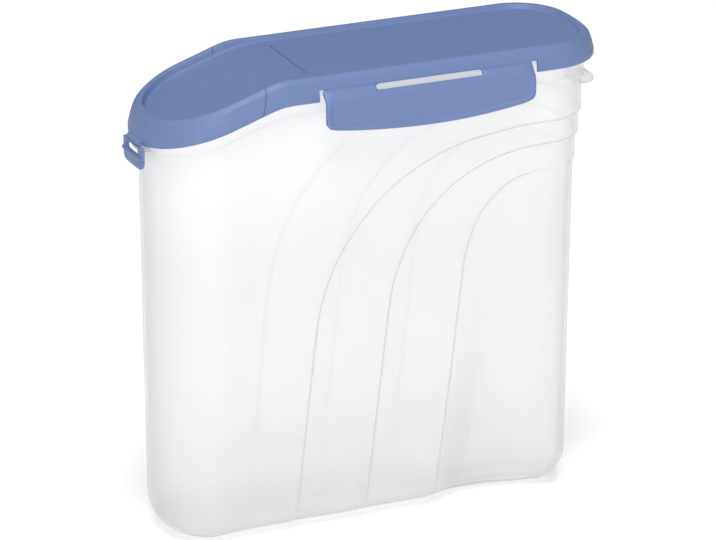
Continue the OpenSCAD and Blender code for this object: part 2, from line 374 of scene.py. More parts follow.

# %% [markdown]
# ### The tub's milky plastic
#
# Natural polypropylene is hazy rather than clear. Light that reaches the far
# wall comes back through the near one, so a partly see-through surface shows
# the far step lines and the floor faintly, without blurring them away. The
# haze varies a little from place to place. The rim, where the wall is thickest,
# hides more, and a stronger painted glow makes it whiter. The wall is painted
# lighter towards the top, as painted light from above. The floor, which is
# thicker, hides more and is painted greyer, as painted shade, and sharp creases
# such as the step lines are denser and painted darker, as painted shade. A faint
# painted glow, strongest at the rim, stands in for the light that travels inside
# the plastic.

# %% Milky polypropylene
def milky(name, alpha):
    paint = Paint(name)
    place = paint.node("TexCoord", out=3)
    cloud = paint.grain(place, 16.0)
    pores = paint.grain(place, 1500.0, 3.0)
    edge = paint.node("LayerWeight", {}, {"Blend": 0.30}, out=1)
    # turn marks sharp creases such as the step lines. There the plastic is made denser and painted darker, as
    # painted shade.
    turn = paint.attribute("turn")
    clear = paint.blend(cloud, (0.712, 0.716, 0.716, 1), (0.734, 0.737, 0.734, 1))
    # high: the upper wall is painted lighter, as painted light from above.
    high = paint.attribute("high")
    clear = paint.blend(high, clear, (0.82, 0.82, 0.82, 1))
    dense = paint.blend(edge * 0.5 + edge * edge * 0.5, clear, (0.34, 0.35, 0.355, 1))
    tint = paint.blend(turn * 0.55, dense, (0.28, 0.29, 0.29, 1))
    # rim: the thick rim hides more. Its base colour is lowered and its painted glow raised, so it stays white
    # where it lies in shade.
    rim = paint.attribute("rim")
    tint = paint.blend(rim * 0.7, tint, (0.54, 0.54, 0.54, 1))
    # base: the thicker floor hides more and is painted greyer, as painted shade.
    base = paint.attribute("base")
    tint = paint.blend(base * 0.5, tint, (0.42, 0.43, 0.43, 1))
    # glow: painted light, a faint glow over the whole tub that is stronger at the rim.
    glow = paint.blend(rim * 0.75, paint.blend(0.5, (0, 0, 0, 1), tint), (0.84, 0.85, 0.85, 1))
    haze = cloud * 0.05 + (alpha - 0.025) + edge * edge * 0.32 + turn * 0.36 + rim * 0.4 + base * 0.3
    rough = pores * 0.12 + 0.26
    bump = paint.node("Bump", {}, {"Strength": 0.05, "Distance": 0.0001, "Height": pores})
    return paint.surface(Base_Color=tint, Roughness=rough, Normal=bump, Alpha=haze, IOR=1.49,
                         Specular_IOR_Level=0.4, Emission_Color=glow, Emission_Strength=0.60)


MILK = milky("tub_milky", 0.345)
print("Made", MILK.name)

# %% [markdown]
# ## The tub's wall
#
# The real wall isn't plain: three fine steps sweep up from the base, turn over
# in an arch and run round the rear end, and behind the last of them the wall
# is scooped inwards for the fingers. A mesh of plain rows and columns would
# show such slanting steps as a staircase. So the wall is drawn flat first,
# like a label before it is wrapped round a tin: distance along the rim across,
# and height up. The step lines are drawn on it as chains of edges, the rest is
# filled with triangles that respect them, and then the flat net is wrapped.
#
# The wall has an even draft, but its two ends stand out a little from it below
# the collar. The bottom edge is rounded more tightly at the spout end and more
# broadly beside the scoop.

# %% The three step lines, as places on the near side
STEP_LINES = [
    [(-49.0, 0.7), (-48.0, 7.0), (-47.0, 18.0), (-42.8, 58.0), (-38.1, 102.7), (-34.6, 122.4), (-25.6, 145.0),
     (-9.6, 166.6), (6.4, 180.2), (22.6, 189.2), (39.0, 195.0), (60.5, 198.7), (82.2, 200.3)],
    [(-11.0, 0.7), (-9.8, 7.0), (-8.8, 18.0), (-5.4, 48.8), (-1.3, 85.8), (2.8, 120.0), (7.7, 137.3),
     (18.1, 156.6), (34.2, 172.5), (50.4, 181.8), (66.6, 186.6), (83.0, 188.3)],
    [(27.6, 0.7), (28.4, 7.0), (29.6, 18.0), (32.6, 42.1), (36.9, 79.4), (40.7, 114.0), (43.9, 137.4),
     (51.3, 155.6), (62.1, 166.6), (76.7, 173.4)]]
STEP_ENDS = [201.0, 188.8, 176.0]
ARC_LENGTH = ROUND * math.pi / 2


def to_net(z):
    """Height above the base as a distance up the net, round the bottom edge."""
    z = np.asarray(z, dtype=float)
    low = ROUND * np.arccos(np.clip(1 - (z - FOOT) / ROUND, -1, 1))
    return np.where(z < FOOT + ROUND, low, ARC_LENGTH + z - FOOT - ROUND)


def smooth_line(points, spacing):
    """A Catmull-Rom curve through points, as evenly spaced points."""
    p = np.array([2 * points[0] - points[1], *points, 2 * points[-1] - points[-2]])
    t = np.linspace(0, 1, 24)[:, None]
    runs = [0.5 * (2 * b + (c - a) * t + (2 * a - 5 * b + 4 * c - d) * t ** 2
                   + (3 * b - a - 3 * c + d) * t ** 3)
            for a, b, c, d in zip(p, p[1:], p[2:], p[3:])]
    line = np.vstack(runs)
    keep = np.concatenate([[True], np.hypot(*np.diff(line, axis=0).T) > 1e-6])
    line = line[keep]
    walked = np.concatenate([[0], np.cumsum(np.hypot(*np.diff(line, axis=0).T))])
    even = np.linspace(0, walked[-1], int(walked[-1] / spacing) + 1)
    return np.column_stack([np.interp(even, walked, line[:, k]) for k in (0, 1)])


def step_curve(k):
    """A step line on the net, carried on past the edges of the near half."""
    line = np.array(STEP_LINES[k])
    s = np.interp(line[:, 0], PLAN[:, 0], PLAN[:, 4])
    points = np.column_stack([s, to_net(line[:, 1])])
    tail = np.array([[END - 12, to_net(STEP_ENDS[k] - 0.3)], [END + 8, to_net(STEP_ENDS[k])]])
    head = points[0] - (points[1] - points[0]) * 2.0
    return smooth_line(np.vstack([head, points, tail]), 1.6)


CURVES = [step_curve(k) for k in range(3)]
print("Step lines:", [len(c) for c in CURVES], "points")


# %% How far the wall stands back at a place on the net
def side_of(curve, s, w):
    """Signed distance to a step line, positive on its rear and lower side."""
    p = np.column_stack([np.ravel(s), np.ravel(w)])
    best = np.full(len(p), 1e9)
    for a, b in zip(curve[:-1], curve[1:]):
        ab = b - a
        t = np.clip(((p - a) @ ab) / (ab @ ab), 0, 1)
        best = np.minimum(best, np.hypot(*(p - a - t[:, None] * ab).T))
    above = np.interp(p[:, 0], curve[:, 0], curve[:, 1], left=-1e9)
    return np.where(p[:, 1] < above, best, -best).reshape(np.shape(s))


# Distances along the curve between which the scoop and the last step fade in and out.
SIDE_S = np.interp([28, 46, 60, 84, 100], PLAN[:, 0], PLAN[:, 4])
STEP_DEPTH = [(1.1, 1.4), (1.1, 1.3), (1.0, 0.9)]
SCOOP_DEPTH = 7.6
FOOT_SHARE = 0.42


def set_back(s, w, inside=0):
    """Steps and finger scoop together, in millimetres. The inner face is softer."""
    rear = ease(s, SIDE_S[3], SIDE_S[4] + 12)
    back = np.zeros_like(s)
    for k, (side, end) in enumerate(STEP_DEPTH):
        depth = side + (end - side) * rear
        if k == 2:
            fade = ease(s, SIDE_S[2] + 6, SIDE_S[3]) * (1 - ease(s, SIDE_S[4], SIDE_S[4] + 10))
            depth = depth * (1 - 0.85 * fade)
        back = back + depth * ease(side_of(CURVES[k], s, w), -2.0 * inside, 0.55 + 3.5 * inside)
    past = ease(side_of(CURVES[2], s, w), 0.3, 22.0)
    scoop = SCOOP_DEPTH * past * (1 - ease(s, SIDE_S[2], SIDE_S[4] + 4)) * (1 - ease(w, 30.0, 175.0))
    return (back + scoop) * (FOOT_SHARE + (1 - FOOT_SHARE) * ease(w, 0.0, 11.0))


print("Set back beside the last step: %.1f mm" % set_back(np.array([SIDE_S[1]]), np.array([20.0]))[0])


# %% Wrapping a place on the net round the tub
SPOUT_SWELL = 1.2
SPOUT_SWELL_LOW = 0.5
REAR_SWELL = 0.55
SPOUT_TIGHTER = 3.5
SCOOP_BROADER = 1.6


def spout_end(s):
    """1 round the spout end, fading to 0 along the side."""
    return 1 - ease(s, 36, 72)


def swell(s, drop):
    """How far the two ends stand out from the even draft, below the collar."""
    spout = SPOUT_SWELL * ease(drop, 19, 42) + SPOUT_SWELL_LOW * ease(drop, 60, 150)
    return spout * spout_end(s) + REAR_SWELL * ease(drop, 24, 45) * ease(s, END - 50, END - 25)


def wall_point(s, w, inside):
    """Places on the net as points of the wall's outer (0) or inner (1) face."""
    x, y, nx, ny = station(s)
    low = np.clip(w, None, ARC_LENGTH) / ROUND
    radius = ROUND - inside * WALL
    base = FOOT + inside * FLOOR
    z = np.where(w < ARC_LENGTH, base + radius * (1 - np.cos(low)), FOOT + ROUND + w - ARC_LENGTH)
    thinning = (FLOOR - WALL) * (1 - ease(w, ARC_LENGTH, ARC_LENGTH + 30))
    lift = np.where(w >= ARC_LENGTH, inside * thinning, 0)
    drop = rim_z(x) - z
    beside_scoop = ease(s, SIDE_S[0] - 58, SIDE_S[1]) * (1 - ease(s, SIDE_S[2], SIDE_S[3]))
    across = radius - SPOUT_TIGHTER * spout_end(s) + SCOOP_BROADER * beside_scoop
    inset = drop * DRAFT - swell(s, drop) + across * (1 - np.sin(low)) + inside * WALL
    inset += set_back(s, w, inside)
    return np.column_stack([x - nx * inset, y - ny * inset, z + lift])


# %% Triangles that respect the step lines
def offset_line(line, distance):
    along = np.gradient(line, axis=0)
    along /= np.hypot(*along.T)[:, None]
    return line + distance * np.column_stack([along[:, 1], -along[:, 0]])


def inside_polygon(points, polygon):
    x, y = points[:, 0], points[:, 1]
    hit = np.zeros(len(points), dtype=bool)
    for (ax, ay), (bx, by) in zip(polygon, np.roll(polygon, -1, axis=0)):
        cross = (ay > y) != (by > y)
        with np.errstate(divide="ignore", invalid="ignore"):
            hit ^= cross & (x < (bx - ax) * (y - ay) / (by - ay) + ax)
    return hit


def triangulate(border, lines, dots, holes=()):
    """Triangles inside a border that keep its edges and those of the lines."""
    points, edges = [], []
    for chain, closed in [(border, True)] + [(h, True) for h in holes] + [(l, False) for l in lines]:
        first = len(points)
        points.extend(map(tuple, chain))
        edges.extend((first + k, first + k + 1) for k in range(len(chain) - 1))
        if closed:
            edges.append((first + len(chain) - 1, first))
    points.extend(map(tuple, dots))
    out = delaunay_2d_cdt([Vector(p) for p in points], edges, [], 0, 1e-5)
    verts = np.array([tuple(v) for v in out[0]])
    tris = np.array([tuple(f) for f in out[2]])
    middle = verts[tris].mean(axis=1)
    keep = inside_polygon(middle, border)
    for hole in holes:
        keep &= ~inside_polygon(middle, hole)
    return verts, tris[keep]


# %% The flat net of the near wall
COLUMNS = PLAN[:, 4]
COLLAR_DROP = 4.8 * ease(COLUMNS, END - 46, END - 14)
TOP = to_net(rim_z(PLAN[:, 0]) - 18.5 - COLLAR_DROP)
rear_marks = np.arange(6.0, TOP[-1] - 3, 6.0)
border = np.vstack([np.column_stack([COLUMNS, np.zeros_like(COLUMNS)]),
                    np.column_stack([np.full_like(rear_marks, END), rear_marks]),
                    np.column_stack([COLUMNS, TOP])[::-1],
                    np.column_stack([np.zeros(30), np.linspace(TOP[0], 0, 32)[1:-1]])])
lines = [offset_line(curve, d) for curve in CURVES for d in (-0.8, 0.0, 0.14, 0.28, 0.41, 0.55, 1.3)]
heights = np.concatenate([np.arange(2.5, 30, 2.5), np.arange(33, 220, 5.0)])
spots = np.array([(s, w) for s in COLUMNS[1:-1] for w in heights])
spots = spots[inside_polygon(spots, border)]
near = np.min([np.abs(side_of(c, spots[:, 0], spots[:, 1]) - 0.25) for c in CURVES], axis=0)
spots = spots[(near > 2.3) & (spots[:, 1] < np.interp(spots[:, 0], COLUMNS, TOP) - 1.6)]
NET, NET_FACES = triangulate(border, lines, spots)
NET[:, 0] = np.clip(NET[:, 0], 0, END)
print("Net of the near wall:", len(NET), "points,", len(NET_FACES), "triangles")


# %% [markdown]
# ### Rim, collar and floor
#
# Above the net, the wall carries a collar that the latches hook under, and
# then the plain rim under the lid. Both follow the rim all the way round, so
# here rows and columns are the right tool. The rows use the same stations as
# the top edge of the net, and welding joins the two.

# %% Rows above and below the net
def near_and_far(rows):
    """Rows of near-half points as one closed ring of columns each."""
    ring = [np.vstack([row, (row * [1, -1, 1])[-2:0:-1]]) for row in rows]
    return np.stack(ring, axis=1)


def collar_row(out, low):
    x, y, nx, ny = PLAN[:, :4].T
    z = rim_z(x) - low - (COLLAR_DROP if low > 10 else 0)
    inset = (rim_z(x) - z) * DRAFT - out
    return np.column_stack([x - nx * inset, y - ny * inset, z])


def strip(parts, rows):
    """Adds the band between rows that run all the way round."""
    grid = near_and_far(rows)
    parts.add(grid, grid_faces(*grid.shape[:2], True))


def tub_parts():
    parts = Parts()
    for inside in (0, 1):
        patch = wall_point(NET[:, 0], NET[:, 1], inside)
        parts.add(patch, NET_FACES)
        parts.add(patch * [1, -1, 1], NET_FACES)
    net_top = wall_point(COLUMNS, TOP, 0)
    outer = [net_top] + [collar_row(*p) for p in (
        (0.0, 17.6), (0.12, 17.2), (0.5, 16.7), (0.95, 16.2), (1.15, 15.8), (1.2, 15.2), (1.2, 11.0),
        (1.2, 6.8), (1.1, 6.2), (0.8, 5.7), (0.3, 5.2), (0.0, 4.7), (0.0, 0.5), (-0.12, 0.14), (-0.5, 0.0))]
    inner = [collar_row(*p) for p in ((-1.3, 0.0), (-1.68, 0.14), (-1.8, 0.5), (-1.8, 9.0), (-1.8, 17.4))]
    strip(parts, outer + inner + [wall_point(COLUMNS, TOP, 1)])
    stops = np.unique(np.round(NET[np.abs(NET[:, 1]) < 1e-4, 0], 5))
    bottom = wall_point(stops, 0 * stops, 0)
    x, y, nx, ny = station(stops)
    foot = [bottom] + [bottom - np.column_stack([nx * d, ny * d, np.full_like(nx, h)])
                       for d, h in ((0.1, 0.15), (0.18, 0.45), (0.3, 0.56), (0.5, 0.6))]
    strip(parts, foot)
    for ring in (near_and_far(foot[-1:]), near_and_far([wall_point(stops, 0 * stops, 1)])):
        parts.add(ring, [list(range(len(ring)))])
    return parts


tub_shell = tub_parts().mesh("tub_shell", MILK, "tub")
along, _, height = (np.array([v.co for v in tub_shell.data.vertices]) / MM).T
# Masks for the milky finish: rim for the thick rim and its stronger painted glow, base for the floor and its
# painted shade, high for the painted light towards the top.
zones = {"rim": 1 - ease(rim_z(along) - height, 7.0, 11.5),
         "base": 1 - ease(height, 3.0, 15.0),
         "high": ease(height, 130.0, 208.0)}
for name, amount in zones.items():
    tub_shell.data.attributes.new(name, "FLOAT", "POINT").data.foreach_set("value", amount)
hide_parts("container")

# %% [markdown]
# ## The lid as one moulding
#
# On the real object the lid leaves the mould in one piece. Its rim is the same
# section all the way round: a skirt with a thicker lip, a rounded shoulder, a
# low ridge and an inner wall that runs down into the plate. A section that is
# carried along a curve is a sweep, so the lid starts as a closed sweep with
# the plate spanned across it like the rungs of a ladder.
#
# Sharp corners give a render away at once. Each corner of the section gets the
# radius that the mould gives it.

# %% A section with rounded corners
def rounded(corners):
    """Points of a polyline [(x, y, radius)] with its inner corners rounded."""
    p = [np.array(c[:2], dtype=float) for c in corners]
    out = [p[0]]
    for k in range(1, len(p) - 1):
        a, b = p[k - 1] - p[k], p[k + 1] - p[k]
        la, lb = np.hypot(*a), np.hypot(*b)
        half = math.acos(np.clip(a @ b / (la * lb), -1, 1)) / 2
        reach = min(corners[k][2] / math.tan(half), 0.48 * la, 0.48 * lb)
        start, stop = p[k] + a / la * reach, p[k] + b / lb * reach
        for t in np.linspace(0, 1, 5):
            out.append((1 - t) ** 2 * start + 2 * t * (1 - t) * p[k] + t * t * stop)
    out.append(p[-1])
    return np.array(out)


OUTSIDE = rounded([(4.0, -9.0, 0), (5.6, -9.0, 0.45), (5.6, -6.15, 0.4), (5.36, -5.75, 0.5),
                   (4.8, -3.0, 5.0), (3.3, 1.3, 3.0), (0.95, 3.0, 0.8), (-1.1, 3.0, 0)])
INSIDE_WALL = [(-1.38, 0.02), (-1.62, 0.08), (-1.80, 0.18), (-2.05, 0.35), (-2.55, 0.70), (-2.85, 0.88),
               (-3.20, 0.965), (-3.80, 0.998), (-4.80, 1.0)]
UNDERSIDE = rounded([(-6.0, -1.5, 0), (-5.2, -4.0, 0.3), (-3.6, -4.0, 0.3), (-2.1, 0.3, 0.3), (1.0, 0.3, 0.3),
                     (3.0, -3.0, 2.0), (4.0, -9.0, 0)])
print("Section of the lid:", len(OUTSIDE) + len(INSIDE_WALL) + len(UNDERSIDE), "points")


# %% Rows of the lid, along the near half
def rim_row(plan, out, up):
    x, y, nx, ny = plan[:, :4].T
    px = x + out * nx
    return np.column_stack([px, y + out * ny, rim_z(px) + up])


def wall_row(plan, out, share):
    """A row between the ridge's top and the plate's face."""
    row = rim_row(plan, out, RIDGE)
    row[:, 2] += share * (plate_z(row[:, 0]) - row[:, 2])
    return row


def plate_row(plan, out, below):
    row = rim_row(plan, out, 0)
    row[:, 2] = plate_z(row[:, 0]) - below
    return row


def ladder(row, rungs):
    """A plate spanned from a near row to its mirror image, closed to a point at both ends."""
    t = np.linspace(0, 1, rungs + 1)[None, :, None]
    near, far = row[1:-1, None, :], (row[1:-1] * [1, -1, 1])[:, None, :]
    grid = near * (1 - t) + far * t
    count, last = rungs + 1, grid.shape[0] * (rungs + 1)
    points = np.vstack([grid.reshape(-1, 3), row[:1], row[-1:]])
    faces = grid_faces(grid.shape[0], count, False)
    return points, faces + [[last] + list(range(count)), [last + 1] + list(range(last - count, last))]


def lid_parts():
    plan = near_half((-BEND_X - BEND_HALF, -BEND_X, -BEND_X + BEND_HALF))
    rows = [rim_row(plan, *p) for p in OUTSIDE] + [wall_row(plan, *p) for p in INSIDE_WALL]
    under = [plate_row(plan, -6.6, LID_T)] + [rim_row(plan, *p) for p in UNDERSIDE[1:]]
    parts = Parts()
    strip(parts, rows)
    strip(parts, under)
    for row in (rows[-1], under[0]):
        parts.add(*ladder(row, 12))
    return parts


# %% [markdown]
# ### Cutting the flap free
#
# The flap parts from the lid along a thin seam: a slanting cut through the
# skirt on each side, a line along each edge of the tongue, and the hinge line
# across. The bays for the latches are cut from the skirt as well. A Boolean
# modifier does what the mould maker's cutter does, so the seam is drawn once,
# as a thin ribbon, and taken out of the lid. What is left falls into two
# pieces, which are told apart by walking from face to face.

# %% The cutter: seam and latch bays
TONGUE_HALF = 26.0


def prism(bm, outline, low, high, lean):
    """A closed prism over an outline, slanted beyond the tongue.

    Walls between a slanted and an upright corner are twisted, so both walls
    of a thin ribbon are split along the same diagonal and never cross.
    """
    def lift(x, y, z):
        return Vector((x + (lean * (z - RIM) if abs(y) > TONGUE_HALF else 0), y, z)) * MM
    bottom = [bm.verts.new(lift(x, y, low)) for x, y in outline]
    top = [bm.verts.new(lift(x, y, high)) for x, y in outline]
    bm.faces.new(bottom[::-1])
    bm.faces.new(top)
    for k, (_, y) in enumerate(outline):
        j = (k + 1) % len(outline)
        if abs(outline[j][1]) > TONGUE_HALF > abs(y):
            bm.faces.new([bottom[k], bottom[j], top[k]])
            bm.faces.new([bottom[j], top[j], top[k]])
        else:
            bm.faces.new([bottom[k], bottom[j], top[j]])
            bm.faces.new([bottom[k], top[j], top[k]])


def bar(bm, section, x0, x1):
    """A closed bar along X with a section drawn in Y and Z."""
    a = [bm.verts.new(Vector((x0, y, z)) * MM) for y, z in section]
    b = [bm.verts.new(Vector((x1, y, z)) * MM) for y, z in section]
    bm.faces.new(a)
    bm.faces.new(b[::-1])
    for k in range(len(section)):
        j = (k + 1) % len(section)
        bm.faces.new([a[j], a[k], b[k], b[j]])


def tongue_edge(x, margin):
    """Half width of the flap's tongue at x, on either side of the seam."""
    return 23.8 + margin + (-39.0 - x) * 0.19


def cutter_object():
    bm = bmesh.new()
    back, front, hinge_back, hinge_front = -65.64, -65.96, -38.5, -39.5
    near = [(back, -60), (back, -tongue_edge(back, 0.1)), (hinge_back, -tongue_edge(hinge_back, 0.1))]
    far = [(front, 60), (front, tongue_edge(front, -0.1)), (hinge_front, tongue_edge(hinge_front, -0.1))]
    prism(bm, near + [(x, -y) for x, y in near[::-1]] + far + [(x, -y) for x, y in far[::-1]], 205, 252, LEAN)
    half = LATCH_L / 2
    for side in (-1, 1):
        section = [(side * y, z) for y, z in ((34.3, HINGE_Z), (50, HINGE_Z), (50, 212), (34.3, 212))]
        bar(bm, section, LATCH_X - half - NOTCH_FRONT, LATCH_X + half + NOTCH_REAR)
    bmesh.ops.recalc_face_normals(bm, faces=bm.faces)
    return finish_mesh("lid_cutter", bm, BLUE, None)


# %% Cut, and tell the two pieces apart
def cut(piece, cutter):
    change = piece.modifiers.new("seam", "BOOLEAN")
    change.operation = "DIFFERENCE"
    change.solver = "MANIFOLD"
    change.object = cutter
    depsgraph = bpy.context.evaluated_depsgraph_get()
    bm = bmesh.new()
    bm.from_mesh(piece.evaluated_get(depsgraph).to_mesh())
    for thing in (piece, cutter):
        bpy.data.objects.remove(thing)
    return bm


def islands(bm):
    """Faces of each connected island, largest first."""
    left, found = set(bm.faces), []
    while left:
        walk, island = [left.pop()], []
        while walk:
            face = walk.pop()
            island.append(face)
            for edge in face.edges:
                for other in edge.link_faces:
                    if other in left:
                        left.discard(other)
                        walk.append(other)
        found.append(island)
    return sorted(found, key=len, reverse=True)


def keep_island(bm, index):
    copy = bm.copy()
    copy.faces.ensure_lookup_table()
    keep = {face.index for face in islands(copy)[index]}
    bmesh.ops.delete(copy, geom=[f for f in copy.faces if f.index not in keep], context="FACES")
    return copy


pieces = cut(lid_parts().mesh("lid_whole", BLUE, None), cutter_object())
pieces.faces.index_update()
frame_bm, flap_bm = keep_island(pieces, 0), keep_island(pieces, 1)
pieces.free()
lid_frame = finish_mesh("lid_body", frame_bm, BLUE, "lid", 40)
lid_flap = finish_mesh("lid_flap", flap_bm, BLUE, "flap", 40)
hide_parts("lid_frame")
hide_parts("spout_flap")

# %% [markdown]
# ## Latches and clip: plates bent from a flat pattern
#
# Each latch is a plate with a curved lower edge, rounded corners and a long
# slot between its hinges, bent once along its length. Like the wall of the tub,
# it is easiest to draw flat. The outline is drawn with its real radii, its edge is
# rolled over with a few narrow rows, the face inside is filled with triangles
# that respect the bend and the lip, and then the pattern is bent.

# %% Helpers for a flat pattern
def inset(loop, distance):
    """A closed loop moved inwards, for a loop that runs anticlockwise."""
    before, after = np.roll(loop, 1, axis=0), np.roll(loop, -1, axis=0)
    a = (loop - before) / np.hypot(*(loop - before).T)[:, None]
    b = (after - loop) / np.hypot(*(after - loop).T)[:, None]
    na, nb = np.column_stack([-a[:, 1], a[:, 0]]), np.column_stack([-b[:, 1], b[:, 0]])
    mid = na + nb
    mid /= np.maximum((mid * na).sum(axis=1), 0.35)[:, None]
    return loop + distance * mid


def corner(cx, cy, radius, start, stop, steps=6):
    return arc(cx, cy, radius, start, stop, steps)[:, :2]


def densify(loop, spacing):
    """Extra points on the long edges of a closed loop."""
    out = []
    for a, b in zip(loop, np.roll(loop, -1, axis=0)):
        count = max(1, int(np.hypot(*(b - a)) / spacing))
        out.extend(a + (b - a) * k / count for k in range(count))
    return np.array(out)


EDGE_ROLL = [(0.28, 1.0), (0.08, 0.92), (0.0, 0.72), (0.0, 0.28), (0.08, 0.08), (0.28, 0.0)]


def pattern_parts(loops, lines, dots, thick, shape):
    """A plate with rolled edges. The first loop is its outline, the others are holes, all of
    them anticlockwise, and shape(flat, depth) bends the pattern."""
    parts = Parts()
    for k, loop in enumerate(loops):
        sign = 1 if k == 0 else -1
        rows = [shape(inset(loop, sign * d), depth * thick) for d, depth in EDGE_ROLL]
        grid = np.stack(rows, axis=1)
        parts.add(grid, grid_faces(*grid.shape[:2], True))
    rim = inset(loops[0], EDGE_ROLL[0][0])
    holes = [inset(loop, -EDGE_ROLL[0][0]) for loop in loops[1:]]
    keep = inside_polygon(dots, inset(loops[0], 1.2))
    for loop in loops[1:]:
        keep &= ~inside_polygon(dots, inset(loop, -1.2))
    flat, faces = triangulate(rim, lines, dots[keep], holes)
    parts.add(shape(flat, 0.0), faces)
    parts.add(shape(flat, thick), faces)
    return parts


# %% The latch's pattern: u along the latch, v down its face
BEND = rounded([(38.62, 234.6, 0), (43.8, 229.1, 2.2), (43.35, 208.0, 0)])
BEND_WALKED = np.concatenate([[0], np.cumsum(np.hypot(*np.diff(BEND, axis=0).T))])
LATCH_FRONT, LATCH_REAR = -56.8, 55.0
RISE_FRONT, RISE_REAR = 4.2, 5.2
LATCH_CORNER = 4.0
SLOT_FRONT, SLOT_REAR = -28.9, 28.0
LATCH_LOW_Z = 211.5
LATCH_BOTTOM = BEND_WALKED[-1] - (LATCH_LOW_Z - BEND[-1, 1])


def latch_edge(u):
    """How far down the face the bowed lower edge is."""
    front, rear = RISE_FRONT * (u / LATCH_FRONT) ** 2, RISE_REAR * (u / LATCH_REAR) ** 2
    return LATCH_BOTTOM - np.where(u < 0, front, rear)


def edge_distance(flat):
    """Distance from the latch's lower edge and its two ends, round the corners."""
    side = np.minimum(flat[:, 0] - LATCH_FRONT, LATCH_REAR - flat[:, 0])
    foot = latch_edge(np.clip(flat[:, 0], LATCH_FRONT, LATCH_REAR)) + flat[:, 1]
    turned = LATCH_CORNER - np.hypot(LATCH_CORNER - side, LATCH_CORNER - foot)
    return np.where((side < LATCH_CORNER) & (foot < LATCH_CORNER), turned, np.minimum(side, foot))


def lower_chain(loop, distance):
    """The part of an inset loop that lies below the bend, as an open chain."""
    line = inset(loop, distance)
    low = line[:, 1] < -8.4
    first = int(np.flatnonzero(low & ~np.roll(low, 1))[0])
    line, low = np.roll(line, -first, axis=0), np.roll(low, -first)
    return line[:int(np.argmin(low))]


def latch_outline():
    """Anticlockwise, with v pointing up, so v is minus the distance down."""
    bottom = np.linspace(LATCH_FRONT + 5.5, LATCH_REAR - 5.5, 67)
    foot = [(u, -float(latch_edge(u))) for u in bottom]
    right = corner(LATCH_REAR - LATCH_CORNER, 3.7 - latch_edge(LATCH_REAR), LATCH_CORNER, -75, 0)
    left = corner(LATCH_FRONT + LATCH_CORNER, 3.7 - latch_edge(LATCH_FRONT), LATCH_CORNER, 180, 255)
    slot = [(SLOT_REAR, 0.0), (SLOT_REAR, -2.5), (SLOT_REAR - 0.2, -3.15), (SLOT_REAR - 0.85, -3.35),
            (SLOT_FRONT + 0.85, -3.35), (SLOT_FRONT + 0.2, -3.15), (SLOT_FRONT, -2.5), (SLOT_FRONT, 0.0)]
    rear_top = [(LATCH_REAR, -1.2), (LATCH_REAR - 0.25, -0.35), (LATCH_REAR - 1, 0.0)]
    front_top = [(LATCH_FRONT + 1, 0.0), (LATCH_FRONT + 0.25, -0.35), (LATCH_FRONT, -1.2)]
    loop = np.vstack([left, foot, right, rear_top, slot, front_top])
    return densify(loop, 2.0)


def latch_shape(side):
    """Bends the pattern, adds the lip, and stands it on the near or the far side."""
    def shape(flat, depth):
        down = -flat[:, 1]
        y = np.interp(down, BEND_WALKED, BEND[:, 0])
        z = np.interp(down, BEND_WALKED, BEND[:, 1])
        ny = np.interp(down, [5.5, 10.0], [0.73, 1.0])
        nz = np.sqrt(1 - ny ** 2)
        lip = 0.72 * (1 - ease(edge_distance(flat), 1.9, 2.9)) * ease(down, 8.2, 10.4) * (depth < 1.0)
        push = lip - depth
        return np.column_stack([LATCH_X + flat[:, 0], side * (y + push * ny), z + push * nz])
    return shape


# %% Two latches, with the catch rib behind each
def latch_parts(side):
    loop = latch_outline()
    u = np.arange(LATCH_FRONT + 2, LATCH_REAR - 1.9, 2.0)
    lines = [np.column_stack([u, np.full_like(u, -v)]) for v in (5.6, 6.4, 7.2, 8.0, 8.8, 10.0)]
    lines = [line[3:-3] if abs(line[0, 1]) > 8 else line for line in lines]
    lines += [lower_chain(loop, d) for d in (1.5, 1.9, 2.15, 2.4, 2.65, 2.9, 3.5)]
    dots = np.array([(a, -b) for a in np.arange(-52, 51, 3.5) for b in (1.8, 3.6, 12.5, 15.0, 17.5)])
    dots = dots[edge_distance(dots) > 4.2]
    parts = pattern_parts([loop], lines, dots, LID_T, latch_shape(side))
    rib = rounded([(42.6, 219.7, 0), (35.6, 219.95, 0.4), (35.5, 221.4, 0.5), (36.3, 221.4, 0.5),
                   (42.6, 221.6, 0)])
    xs = np.concatenate([[-47.0, -46.6, -46.0], np.linspace(-44, 44, 23), [46.0, 46.6, 47.0]])
    grow = np.where(np.abs(xs) > 46.9, 0.55, np.where(np.abs(xs) > 46.5, 0.9, 1.0))
    my, mz = 43.0, 220.7
    grid = np.array([[(LATCH_X + x, side * (my + (y - my) * g), mz + (z - mz) * g)
                      for y, z in rib] for x, g in zip(xs, grow)])
    parts.add(grid, tube_faces(*grid.shape[:2]))
    return parts


def slot_edge(name, side):
    """The lid's edge over the latch's slot, with its two rounded corners."""
    half = np.array([10, 20, 26.1, 26.6, 27.1, 27.5, 27.9, 28.2])
    reach = np.concatenate([-half[::-1], [0], half])
    low = 234.3 - 0.75 * np.clip((np.abs(reach) - 26.4) / 1.8, 0, 1) ** 2
    middle = LATCH_X + (SLOT_FRONT + SLOT_REAR) / 2
    grid = np.array([[(middle + x, side * y, z) for y, z in (
        (37.5, 235.4), (37.5, z0 + 0.1), (37.6, z0), (38.6, z0), (38.78, z0 + 0.12), (38.7, 234.9),
        (38.5, 235.4))] for x, z0 in zip(reach, low)])
    piece = make_mesh(name, grid.reshape(-1, 3), tube_faces(*grid.shape[:2]), BLUE, "lid", sharp=50)


slot_edge("near_slot_edge", -1)
slot_edge("far_slot_edge", 1)
for name, side, node in (("near_latch_plate", -1, "near_latch"), ("far_latch_plate", 1, "far_latch")):
    latch = latch_parts(side).mesh(name, BLUE, node)
    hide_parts(node)

